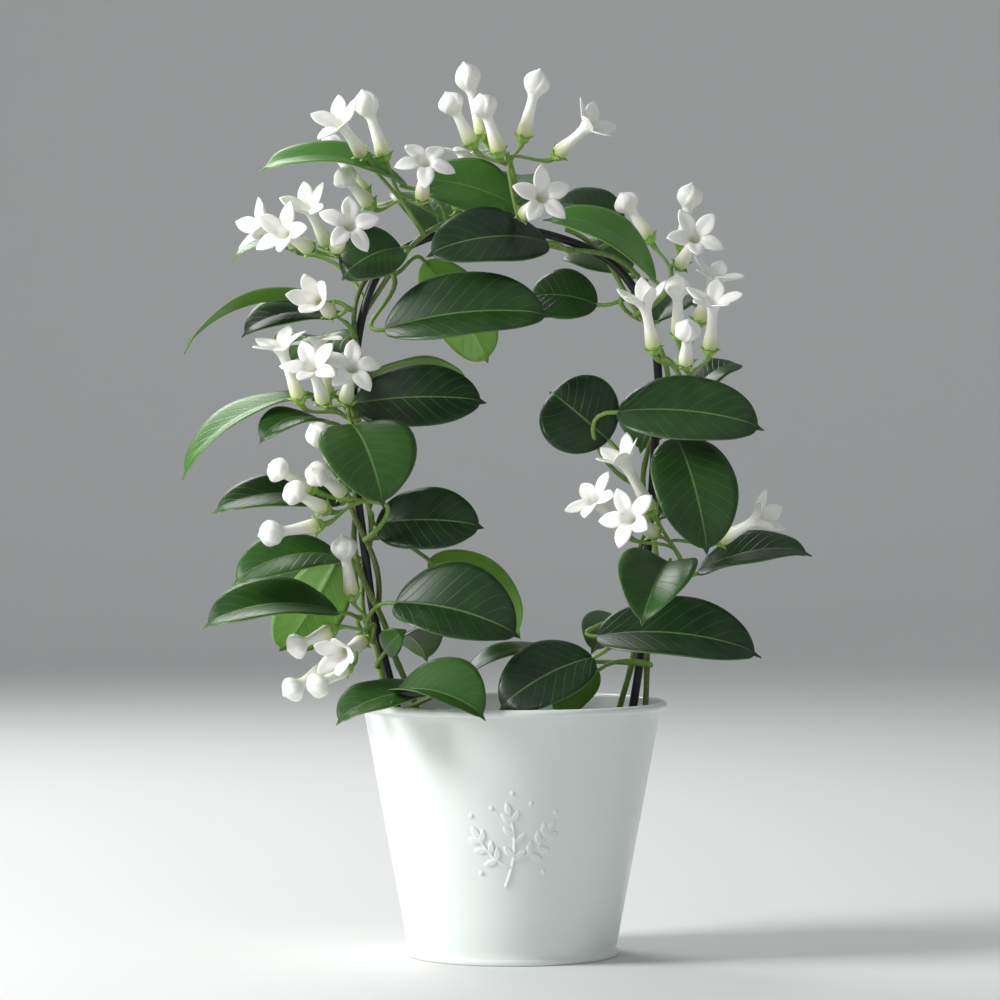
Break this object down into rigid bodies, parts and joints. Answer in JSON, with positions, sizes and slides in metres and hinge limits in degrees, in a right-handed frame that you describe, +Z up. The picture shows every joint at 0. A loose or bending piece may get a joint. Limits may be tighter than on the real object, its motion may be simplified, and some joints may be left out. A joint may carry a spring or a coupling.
{
  "type": "potted madagascar jasmine",
  "caption": "Flowering vine with leathery oval leaves and white star flowers, twined round a tall wire hoop in a tapered white metal pot.",
  "frame": {"origin": "middle of the pot's flat underside, on the surface that the pot stands on", "axes": "+Z up along the pot's axis, X across the width of the hoop, -Y towards the front, where most leaves and flowers face"},
  "size_m": [0.3034, 0.1709, 0.4389],
  "materials": {
    "enamel": "satin",
    "compost": "matte",
    "coated_wire": "satin",
    "leaf": "satin",
    "petal": "satin"
  },
  "bodies": {
    "root": {"bud_left_lone_1": "petal", "bud_left_lower_1": "petal", "bud_left_lower_3": "petal", "bud_left_lower_4": "petal", "bud_left_middle_1": "petal", "bud_left_middle_2": "petal", "bud_left_middle_3": "petal", "bud_left_middle_4": "petal", "bud_left_middle_5": "petal", "bud_right_peak_1": "petal", "bud_right_peak_2": "petal", "bud_right_upper_4": "petal", "bud_right_upper_5": "petal", "bud_top_1": "petal", "bud_top_2": "petal", "bud_top_3": "petal", "bud_top_4": "petal", "bud_top_left_2": "petal", "bud_top_left_3": "petal", "bud_top_left_4": "petal", "flower_far_left_1": "petal", "flower_far_left_2": "petal", "flower_far_left_3": "petal", "flower_far_left_4": "petal", "flower_left_lower_2": "petal", "flower_left_single_1": "petal", "flower_left_upper_1": "petal", "flower_left_upper_2": "petal", "flower_left_upper_3": "petal", "flower_left_upper_4": "petal", "flower_right_lower_1": "petal", "flower_right_lower_2": "petal", "flower_right_lower_3": "petal", "flower_right_lower_4": "petal", "flower_right_peak_3": "petal", "flower_right_upper_1": "petal", "flower_right_upper_2": "petal", "flower_right_upper_3": "petal", "flower_top_5": "petal", "flower_top_6": "petal", "flower_top_left_1": "petal", "flower_top_left_5": "petal", "flower_top_left_6": "petal", "hoop": "coated_wire", "pot": "enamel", "soil": "compost", "stem_left_lower": "leaf", "stem_left_upper": "leaf", "stem_right_lower": "leaf", "stem_right_upper": "leaf", "stem_top": "leaf"}
  },
  "joints": []
}
